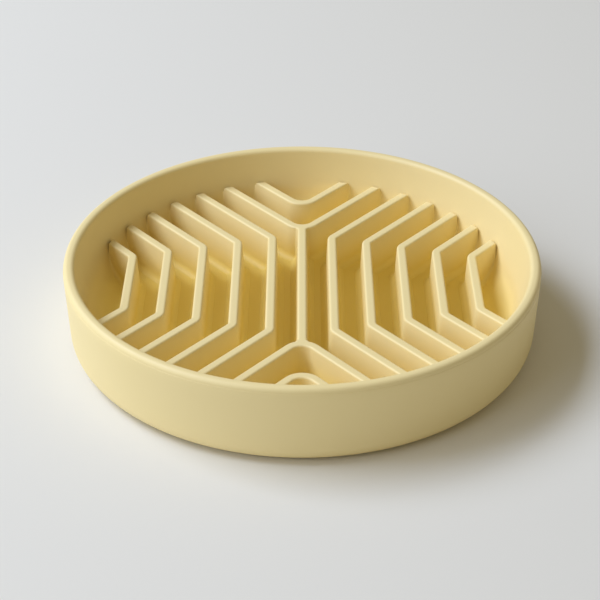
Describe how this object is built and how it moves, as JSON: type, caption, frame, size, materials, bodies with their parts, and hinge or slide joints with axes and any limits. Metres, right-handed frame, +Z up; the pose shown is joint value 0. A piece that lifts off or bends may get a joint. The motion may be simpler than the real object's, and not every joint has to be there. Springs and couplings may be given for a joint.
{
  "type": "slow feeder bowl",
  "caption": "Round shallow slow feeder bowl with a rounded lip and upright ribs that divide its floor into angled channels, standing on non-slip feet.",
  "frame": {"origin": "middle of the surface that the feet stand on", "axes": "+Z up; +Y along the centre rib, away from the viewer; +X to the viewer's right"},
  "size_m": [0.2198, 0.2198, 0.04],
  "materials": {
    "bowl": "matte",
    "feet": "matte"
  },
  "bodies": {
    "root": {"bowl_shell": "bowl", "centre_rib": "bowl", "rear_vee_rib": "bowl", "front_vee_rib": "bowl", "left_rib_1": "bowl", "left_rib_2": "bowl", "left_rib_3": "bowl", "left_rib_4": "bowl", "left_rib_5": "bowl", "right_rib_1": "bowl", "right_rib_2": "bowl", "right_rib_3": "bowl", "right_rib_4": "bowl", "right_rib_5": "bowl", "foot_pad_1": "feet", "foot_pad_2": "feet", "foot_pad_3": "feet", "foot_pad_4": "feet", "foot_pad_5": "feet", "foot_pad_6": "feet"}
  },
  "joints": []
}
